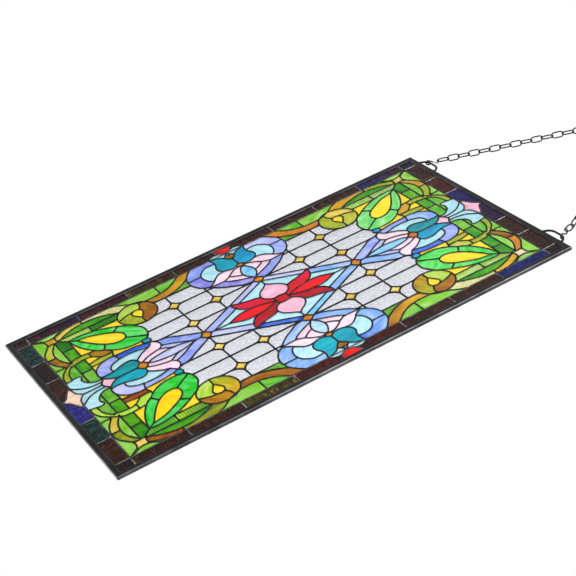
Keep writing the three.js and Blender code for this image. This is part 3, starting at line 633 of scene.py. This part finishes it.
def metal(name, dark, light, roughness, spread, attribute=None, scale=60.0, metallic=0.85, grain=0.25):
    material, tree, shader = new_material(name)
    links = tree.links
    where = add_node(tree, "ShaderNodeTexCoord")
    patches = add_node(tree, "ShaderNodeTexNoise", in_Scale=scale, in_Detail=7, in_Roughness=0.62)
    links.new(where.outputs["Object"], patches.inputs["Vector"])
    fine = add_node(tree, "ShaderNodeTexNoise", in_Scale=scale * 14, in_Detail=3)
    links.new(where.outputs["Object"], fine.inputs["Vector"])
    share = ramp(tree, patches.outputs[0], ((0.42, 0), (0.72, 1)))
    tint = mix_colour(tree, share, (*dark, 1), (*light, 1))
    if attribute:
        bright = add_node(tree, "ShaderNodeAttribute", attribute_name=attribute)
        # Where the attribute is set the colour turns light grey: silver solder on the leads, bare silver on
        # the hooks, and a painted highlight on the frame's lips
        silver_and_painted_highlight = mix_colour(tree, share, (0.1, 0.1, 0.11, 1), (0.4, 0.4, 0.43, 1))
        tint = mix_colour(tree, bright.outputs["Fac"], tint, silver_and_painted_highlight)
    links.new(tint, shader.inputs["Base Color"])
    gloss = add_node(tree, "ShaderNodeMapRange")
    gloss.inputs["To Min"].default_value = roughness
    gloss.inputs["To Max"].default_value = roughness + spread
    links.new(fine.outputs[0], gloss.inputs["Value"])
    links.new(gloss.outputs[0], shader.inputs["Roughness"])
    bump(tree, shader, fine.outputs[0], grain, 0.0006)
    shader.inputs["Metallic"].default_value = metallic
    return material


LEAD = metal("lead with dark patina", (0.008, 0.008, 0.009), (0.05, 0.05, 0.053), 0.24, 0.3, "silver", 90)
ZINC = metal("dark zinc with painted lip highlights", (0.018, 0.0168, 0.0186), (0.045, 0.042, 0.0468), 0.3, 0.2, "silver", 14,
             0.85, 0.12)
WIRE = metal("blackened wire", (0.01, 0.01, 0.011), (0.05, 0.048, 0.045), 0.25, 0.3, None, 120)
HOOK = metal("hook wire, blackened at one end", (0.01, 0.01, 0.011), (0.05, 0.048, 0.045), 0.2, 0.2, "silver",
             120)


def make_object(name, verts, faces, materials, indices=None, smooth_faces=None):
    mesh = bpy.data.meshes.new(name)
    mesh.from_pydata(verts, [], faces)
    for material in materials:
        mesh.materials.append(material)
    if indices is not None:
        mesh.polygons.foreach_set("material_index", indices)
    if smooth_faces is not None:
        mesh.polygons.foreach_set("use_smooth", smooth_faces)
    mesh.update()
    obj = bpy.data.objects.new(name, mesh)
    bpy.context.scene.collection.objects.link(obj)
    return obj


def finish_piece(obj, slot, *stands_for):
    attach(obj, "root")
    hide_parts(*stands_for)


# Glass pieces as real slabs, one object for each packed glass node
QUARTERS = ((-1, -1), (-1, 1), (1, -1), (1, 1))
GLASS_ORDER = {"art": 0, "dark": 1, "clear": 2, "reeded": 3}
# How unevenly the panes sit and how much their tints vary
PANE_LEAN = 0.006
PANE_SHIFT = 0.12
TILT_LIMIT = 0.25
PANE_BRIGHT = (0.94, 1.08)
stock = {name: {"verts": [], "faces": [], "kinds": [], "main": [], "streak": [], "seed": [], "turn": []}
         for name in nodes}


def rim_of(faces):
    follow = {}
    pairs = {(face[k], face[(k + 1) % 3]) for face in faces for k in range(3)}
    for a, b in pairs:
        if (b, a) not in pairs:
            follow[a] = b
    loop = [min(follow)]
    while follow[loop[-1]] != loop[0]:
        loop.append(follow[loop[-1]])
    return loop


# An edge on one of the panel's centre lines, where the mirrored half of the pane goes on
def on_cut(p, q):
    return abs(p[0]) + abs(q[0]) < 0.01 or abs(p[1]) + abs(q[1]) < 0.01


def add_face(store, flip, *corners):
    store["faces"].append(tuple(reversed(corners)) if flip else corners)


# A domed or bevelled pane: on each face, rings that rise to a tip
def raised_slab(store, pane, sx, sz):
    flip = sx * sz < 0
    first = len(store["verts"])
    edge = np.array([verts2d[v] for v in rim_of(pane["faces"])])
    middle = edge.mean(0) * (edge.min(0) > 0.01)
    rings = DOME if pane["cut"] == "domed" else BEVEL
    count = len(edge)
    placed = []
    for depth in (-1, 1):
        start = len(store["verts"])
        for share, height in rings:
            for x, z in middle + (edge - middle) * share:
                placed.append((x, z))
                store["verts"].append(place(x * sx, depth * height, z * sz))
        tip = len(store["verts"])
        placed.append(tuple(middle))
        store["verts"].append(place(middle[0] * sx, depth * (rings[-1][1] + 0.05), middle[1] * sz))
        for k in range(count):
            t = (k + 1) % count
            if on_cut(edge[k], edge[t]):
                continue
            for row in range(len(rings) - 1):
                a, b = start + row * count, start + (row + 1) * count
                quad = (a + k, a + t, b + t, b + k) if depth < 0 else (a + t, a + k, b + k, b + t)
                add_face(store, flip, *quad)
            a = start + (len(rings) - 1) * count
            add_face(store, flip, *((a + k, a + t, tip) if depth < 0 else (a + t, a + k, tip)))
            if depth > 0:
                add_face(store, flip, first + t, first + k, start + k, start + t)
    return placed


# A flat pane, tilted and shifted a little, as panes sit in their lead
def flat_slab(store, pane, sx, sz, used, flat, lean, shift):
    flip = sx * sz < 0
    first = len(store["verts"])
    middle = flat.mean(0)
    count = len(used)
    number = {v: k for k, v in enumerate(used)}
    for depth in (-GLASS_T / 2, GLASS_T / 2):
        for x, z in flat:
            tilt = (x - middle[0]) * lean[0] + (z - middle[1]) * lean[1] + shift
            tilt = max(min(tilt, TILT_LIMIT), -TILT_LIMIT)
            store["verts"].append(place(x * sx, depth + tilt, z * sz))
    pairs = set()
    for corners in pane["faces"]:
        a, b, c = (number[v] for v in corners)
        add_face(store, flip, first + a, first + b, first + c)
        add_face(store, flip, first + count + a, first + count + c, first + count + b)
        pairs |= {(a, b), (b, c), (c, a)}
    for p, q in pairs:
        if (q, p) not in pairs and not on_cut(flat[p], flat[q]):
            add_face(store, flip, first + q, first + p, first + count + p, first + count + q)
    return list(map(tuple, flat)) * 2


# Colours, direction of the streaks and noise seed of a pane, on each of its points; on the dark border glass
# the streaks are painted highlights of its ripples
def colour_slab(store, pane, quarter, flat, placed, on_axis):
    tints = [[glass_tint(code, pane["kind"]) for code in pair] for pair in pane["tint"][quarter]]
    bright = 1.0 if on_axis else rng.uniform(*PANE_BRIGHT)
    spot = [rng.uniform(-1, 1) for _ in range(3)] if not on_axis else [0.3, 0.1, 0.2]
    spread = np.ptp(flat, 0) + 0.01
    turn = math.atan2(*spread) * rng.choice((-1, 1)) if not on_axis else 0.0
    if pane["cut"] == "reeded" or pane["kind"] == "dark":
        turn = 0.0 if spread[1] > spread[0] else math.pi / 2
    long_way = int(spread[1] > spread[0])
    for point in placed:
        share = (point[long_way] - flat[:, long_way].min()) / spread[long_way]
        for key, k in (("main", 0), ("streak", 1)):
            low_end, high_end = tints[0][k], tints[-1][k]
            store[key].append([bright * (a + (b - a) * share) for a, b in zip(low_end, high_end)])
        store["seed"].append(spot)
        store["turn"].append(turn)


def add_slab(pane, quarter, sx, sz):
    centre = pane["inside"]
    home = node_at(centre.x * sx, centre.y * sz)
    if home is None:
        return
    store = stock[home]
    used = sorted({v for face in pane["faces"] for v in face})
    flat = np.array([verts2d[v] for v in used])
    on_axis = flat.min() < 0.01
    lean = (0, 0) if on_axis else (rng.uniform(-PANE_LEAN, PANE_LEAN), rng.uniform(-PANE_LEAN, PANE_LEAN))
    shift = 0 if on_axis else rng.uniform(-PANE_SHIFT, PANE_SHIFT)
    if pane["cut"] in ("domed", "bevelled"):
        placed = raised_slab(store, pane, sx, sz)
    else:
        placed = flat_slab(store, pane, sx, sz, used, flat, lean, shift)
    colour_slab(store, pane, quarter, flat, placed, on_axis)
    glass = "reeded" if pane["cut"] == "reeded" else pane["kind"]
    store["kinds"].extend([GLASS_ORDER[glass]] * (len(store["faces"]) - len(store["kinds"])))


for quarter, (sx, sz) in enumerate(QUARTERS):
    for pane in panes:
        add_slab(pane, quarter, sx, sz)

slots = {s["node"]: s["material_slot"] for s in frame["record"]["subparts"]}
for name, store in stock.items():
    if not store["faces"]:
        continue
    glasses = [ART, DARK, CLEAR, REED]
    pane_name = name.replace("glass_", "panes_")
    obj = make_object(pane_name, store["verts"], store["faces"], glasses, store["kinds"])
    for key, label in (("main", "tint_main"), ("streak", "tint_streak_and_painted_highlight"), ("seed", "pane_seed")):
        layer = obj.data.attributes.new(label, "FLOAT_VECTOR", "POINT")
        layer.data.foreach_set("vector", np.array(store[key], np.float32).ravel())
    layer = obj.data.attributes.new("pane_turn", "FLOAT", "POINT")
    layer.data.foreach_set("value", np.array(store["turn"], np.float32))
    # Panes cut by a centre line are joined to their mirrored half where the colours agree
    shell = bmesh.new()
    shell.from_mesh(obj.data)
    first_there, same = {}, {}
    for v, colour in zip(shell.verts, store["main"]):
        if abs(v.co.x) < 1e-6 or abs(v.co.z - CENTRE.z) < 1e-6:
            key = (*(round(c, 6) for c in v.co), *(round(c, 4) for c in colour))
            if key in first_there:
                same[v] = first_there[key]
            else:
                first_there[key] = v
    bmesh.ops.weld_verts(shell, targetmap=same)
    shell.to_mesh(obj.data)
    shell.free()
    finish_piece(obj, slots[name], name)


# Round bars along a line, with an oval section that may swell
def sweep(store, path, across, deep, sides, closed=False, swell=0.0, wobble=0.0, silver=0.0, flat=True):
    path = [Vector(p) for p in path]
    if closed and (path[0] - path[-1]).length < 1e-6:
        path = path[:-1]
    count = len(path)
    first = len(store["verts"])
    for k, here in enumerate(path):
        before = path[k - 1] if closed or k else here
        after = path[(k + 1) % count] if closed or k < count - 1 else here
        along = (after - before).normalized()
        if flat:
            out = Vector((0, 1, 0))
        else:
            out = Vector((0, 1, 0)) if abs(along.y) < 0.9 else Vector((1, 0, 0))
        side = along.cross(out).normalized()
        out = side.cross(along).normalized()
        ends = 0 if closed else max(0, 1 - min(k, count - 1 - k) / 2)
        grow = 1 + swell * ends + wobble * noise.noise(here * 0.22)
        for s in range(sides):
            turn = 2 * math.pi * s / sides
            v = here + side * (math.cos(turn) * across * grow / 2) + out * (math.sin(turn) * deep * grow / 2)
            store["verts"].append(tuple(v))
            store["silver"].append(silver)
    for k in range(count if closed else count - 1):
        a, b = first + k * sides, first + ((k + 1) % count) * sides
        for s in range(sides):
            t = (s + 1) % sides
            store["faces"].append((a + s, a + t, b + t, b + s))
    if not closed:
        for k, back in ((0, False), (count - 1, True)):
            tip = len(store["verts"])
            along = (path[1] - path[0]) if k == 0 else (path[-2] - path[-1])
            cap = path[k] - along.normalized() * across * 0.3
            store["verts"].append(tuple(cap))
            store["silver"].append(silver)
            a = first + k * sides
            for s in range(sides):
                t = (s + 1) % sides
                store["faces"].append((tip, a + s, a + t) if back else (tip, a + t, a + s))


def built(name, store, material, slot, stands_for, at_panel=True):
    lift = CENTRE.z if at_panel else 0
    verts = [(x * MM, y * MM, z * MM + lift) for x, y, z in store["verts"]]
    obj = make_object(name, verts, store["faces"], [material], None, [True] * len(store["faces"]))
    layer = obj.data.attributes.new("silver", "FLOAT", "POINT")
    layer.data.foreach_set("value", np.array(store["silver"], np.float32))
    bpy.context.view_layer.update()
    finish_piece(obj, slot, *stands_for)
    return obj


def fresh():
    return {"verts": [], "faces": [], "silver": []}


net = fresh()
for path, width, silver, closed in lines:
    for sx, sz in QUARTERS:
        upright = np.all(np.abs(path[:, 0]) < 0.01)
        level = np.all(np.abs(path[:, 1]) < 0.01)
        if (upright and sx < 0) or (level and sz < 0):
            continue
        keep = [(x * sx, 0, z * sz) for x, z in path if x < SIGHT_W + 1 and z < SIGHT_H + 1]
        deep = LEAD_DEPTH * (1.0 if silver < 0.3 else 0.95)
        sweep(net, keep, width, deep, 8, closed, 0.16, 0.13, silver)
built("leading_beads", net, LEAD, "lead", ["leading"])


# Zinc frame: a rounded channel, mitred at the corners
def frame_bar(name, half, out, turn):
    lip, deep = 1.0, 3.5
    profile = [(0, -deep + lip)]
    profile += [(lip - lip * math.cos(t), -deep + lip - lip * math.sin(t)) for t in (0.5, 1.1)]
    seat = 1.9
    profile += [(lip, -deep), (FACE - 1.6, -deep), (FACE - 0.5, -deep + 0.5), (FACE, -deep + 1.4)]
    profile += [(FACE, -seat), (4, -seat), (4, seat), (FACE, seat)]
    profile += [(FACE, deep - 1.4), (FACE - 0.5, deep - 0.5), (FACE - 1.6, deep), (lip, deep)]
    profile += [(lip - lip * math.cos(t), deep - lip + lip * math.sin(t)) for t in (1.1, 0.5)]
    profile += [(0, deep - lip)]
    verts, faces = [], []
    count = len(profile)
    spin = Matrix.Rotation(turn, 3, "Y")
    for end in (-1, 1):
        for inward, y in profile:
            verts.append(spin @ Vector((end * (half - inward - 0.12), y, out - inward)))
    for k in range(count):
        t = (k + 1) % count
        faces.append((k, k + count, t + count, t))
    faces.append(tuple(range(count)))
    faces.append(tuple(reversed(range(count, 2 * count))))
    obj = make_object(name, [place(*v) for v in verts], faces, [ZINC])
    # The frame's outer and inner lips are painted light grey as highlights
    painted_lip_highlight = []
    for inward, y in profile:
        outer_edge = inward < lip and abs(y) > deep - lip - 0.1
        inner_edge = inward > FACE - 0.6 and abs(y) > 2
        painted_lip_highlight.append(0.8 if outer_edge else 0.35 if inner_edge else 0.0)
    painted_lip_highlight *= 2
    layer = obj.data.attributes.new("silver", "FLOAT", "POINT")
    layer.data.foreach_set("value", np.array(painted_lip_highlight, np.float32))
    finish_piece(obj, "frame", name.replace("zinc_", "frame_"))


frame_bar("zinc_top", HALF_W, HALF_H, 0)
frame_bar("zinc_bottom", HALF_W, HALF_H, math.pi)
frame_bar("zinc_right", HALF_H, HALF_W, math.pi / 2)
frame_bar("zinc_left", HALF_H, HALF_W, -math.pi / 2)

# Hanging gear on the same lines as the solids, its wires drawn a little thicker, as the photo shows them
LOOP_SPAN, LOOP_HEIGHT, LOOP_WIRE, LOOP_INSET = 57, 16, 3, 56.5
HOOK_PLACE, HOOK_WIRE, HOOK_BOWL, HOOK_REACH, HOOK_SLACK = 12, 2.5, 4.5, 16, 2.7
LINK_LENGTH, LINK_WIDTH, LINK_WIRE, LINKS = 25, 14, 2.2, 22
RING_RADIUS, RING_WIRE = 11, 2.6
LOOP_DRAWN, HOOK_DRAWN, LINK_DRAWN = LOOP_WIRE + 1.2, HOOK_WIRE + 0.6, LINK_WIRE + 0.4
TOUCH_GAP, LINK_OVERLAP = 0.3, 0.15
hook_x = HALF_W - LOOP_INSET + HOOK_PLACE
link_run = LINK_LENGTH - LINK_WIRE
pitch = link_run - LINK_WIRE + LINK_OVERLAP
to_hook = HOOK_BOWL - (LOOP_WIRE + HOOK_WIRE) / 2 - HOOK_SLACK
to_link = HOOK_BOWL - HOOK_WIRE / 2 - TOUCH_GAP - LINK_WIRE / 2
chain_start = to_hook + HOOK_REACH + to_link + link_run / 2
chain_end = chain_start + (LINKS - 1) * pitch + link_run / 2
hang = chain_end + RING_RADIUS - (LINK_WIRE + RING_WIRE) / 2 - TOUCH_GAP
lean = math.asin(hook_x / hang)


def loop_rise(share):
    return (LOOP_HEIGHT - LOOP_WIRE / 2) * (1 - abs(share) ** 4)


def on_chain(side, point, distance):
    spin = Matrix.Rotation(-side * lean, 3, "Y")
    base = Vector((side * hook_x, 0, TOP + loop_rise(2 * HOOK_PLACE / LOOP_SPAN)))
    return base + spin @ (Vector(point) + Vector((0, 0, distance)))


def oval(turned):
    path = []
    half, wide = link_run / 2, (LINK_WIDTH - LINK_WIRE) / 2
    for k in range(10):
        t = math.pi * k / 9
        path.append((wide * math.cos(t), 0, half - wide + wide * math.sin(t)))
    path += [(-x, 0, -z) for x, _, z in path]
    return [(y, x, z) if turned else (x, y, z) for x, y, z in path]


for place_name, side in (("left", -1), ("right", 1)):
    loop = fresh()
    arch = []
    for k in range(25):
        share = math.cos(math.pi * (24 - k) / 24)
        rise = max(loop_rise(share), 1.2)
        arch.append((side * (HALF_W - LOOP_INSET) + share * (LOOP_SPAN - LOOP_WIRE) / 2, 0, TOP + rise))
    sweep(loop, arch, LOOP_DRAWN, LOOP_DRAWN, 12)
    for end in (-1, 1):
        mid = side * (HALF_W - LOOP_INSET) + end * (LOOP_SPAN / 2 - 4)
        foot = [(mid + s * 0.9, 0, TOP + 0.95) for s in (-4, -3.4, -2, 0, 2, 3.4, 4)]
        sweep(loop, foot, 1.3, 5.2, 12, swell=-0.25)
    built(f"loop_{place_name}", loop, WIRE, "wire", [f"hanging_loop_{place_name}"], False)

    hook = fresh()
    curl = []
    for k in range(17):
        t = math.pi * (0.28 - 1.33 * k / 16)
        curl.append((0, HOOK_BOWL * math.cos(t), HOOK_BOWL * math.sin(t)))
    for k in range(17):
        t = math.pi * (-0.05 + 0.77 * k / 16)
        curl.append((0, HOOK_BOWL * math.cos(t), HOOK_REACH + HOOK_BOWL * math.sin(t)))
    path = smooth([on_chain(side, p, to_hook) for p in curl], 0.9)
    sweep(hook, path, HOOK_DRAWN, HOOK_DRAWN, 10, swell=0.3, flat=False)
    # The hook's upper end is bare silver, its lower end blackened
    total = len(hook["verts"])
    hook["silver"] = [min(max(3 * k / total - 0.9, 0), 1) for k in range(total)]
    built(f"s_hook_{place_name}", hook, HOOK, "wire", [f"hook_{place_name}"], False)

    chain = fresh()
    for k in range(LINKS):
        link = [on_chain(side, p, chain_start + k * pitch) for p in oval(k % 2 == 1)]
        sweep(chain, link, LINK_DRAWN, LINK_DRAWN, 10, closed=True, flat=False)
    built(f"chain_run_{place_name}", chain, WIRE, "wire", [f"chain_{place_name}"], False)

ring = fresh()
turns = [2 * math.pi * k / 36 for k in range(36)]
drop = RING_WIRE / 2 - RING_RADIUS
circle_path = [(RING_RADIUS * math.cos(t), 0, drop + RING_RADIUS * math.sin(t)) for t in turns]
sweep(ring, circle_path, RING_WIRE, 2.3, 12, True)
built("top_ring", ring, WIRE, "wire", ["hanging_ring"], False)

# Floor, light and camera
floor_mesh = bpy.data.meshes.new("floor")
below = low.z - 0.8
reach = 60
floor_corners = [(x * reach, z * reach, below) for x, z in ((-1, -1), (1, -1), (1, 1), (-1, 1))]
floor_mesh.from_pydata(floor_corners, [], [(0, 1, 2, 3)])
floor = bpy.data.objects.new("floor", floor_mesh)
bpy.context.scene.collection.objects.link(floor)
floor_material, floor_tree, floor_shader = new_material("pale floor")
floor_shader.inputs["Base Color"].default_value = (0.82, 0.82, 0.82, 1)
floor_shader.inputs["Roughness"].default_value = 0.7
floor_mesh.materials.append(floor_material)

# White all round, but soft boxes and dark between them in what the glass and metal reflect
world = bpy.data.worlds.new("studio")
bpy.context.scene.world = world
world.use_nodes = True
studio = world.node_tree
rays = add_node(studio, "ShaderNodeLightPath")
where = add_node(studio, "ShaderNodeTexCoord")
boxes = add_node(studio, "ShaderNodeTexNoise", in_Scale=2.2, in_Detail=1)
studio.links.new(where.outputs["Generated"], boxes.inputs["Vector"])
reflected = ramp(studio, boxes.outputs[0], ((0.4, 0.06), (0.62, 0.9)))
mirrored = add_node(studio, "ShaderNodeMath", operation="SUBTRACT", use_clamp=True)
studio.links.new(rays.outputs["Is Glossy Ray"], mirrored.inputs[0])
studio.links.new(rays.outputs["Is Transmission Ray"], mirrored.inputs[1])
studio.links.new(mix_colour(studio, mirrored.outputs[0], (1, 1, 1, 1), reflected),
                 studio.nodes["Background"].inputs["Color"])
studio.nodes["Background"].inputs["Strength"].default_value = 1.0


def area_light(name, where, target, size, power):
    data = bpy.data.lights.new(name, "AREA")
    data.size = size
    data.energy = power
    obj = bpy.data.objects.new(name, data)
    obj.location = where
    obj.visible_transmission = False
    obj.rotation_euler = (Vector(target) - Vector(where)).to_track_quat("-Z", "Y").to_euler()
    bpy.context.scene.collection.objects.link(obj)


area_light("key", (1.6, -2.2, CENTRE.z + 1.4), CENTRE, 1.4, 60)
area_light("rim", (-1.4, 1.8, CENTRE.z + 0.8), CENTRE, 1.2, 40)

# The photo's viewing angle, with the camera placed from the panel's lower left corner
corner = Vector((-HALF_W * MM, -0.0035, low.z))
from_corner = Vector((2.3963, -1.4006, -0.4296))
look = Vector((-0.7927, 0.5141, 0.3275)).normalized()
right = Vector((0.4839, 0.2039, 0.8511)).normalized()
up = right.cross(look).normalized()
right = look.cross(up).normalized()
camera_data = bpy.data.cameras.new("camera")
camera_data.lens = 96.1
camera_data.sensor_width = 36
camera = bpy.data.objects.new("camera", camera_data)
rotation = Matrix((right, up, -look)).transposed().to_4x4()
camera.matrix_world = Matrix.Translation(corner + from_corner) @ rotation
bpy.context.scene.collection.objects.link(camera)
bpy.context.scene.camera = camera
bpy.context.scene.view_settings.view_transform = "Standard"
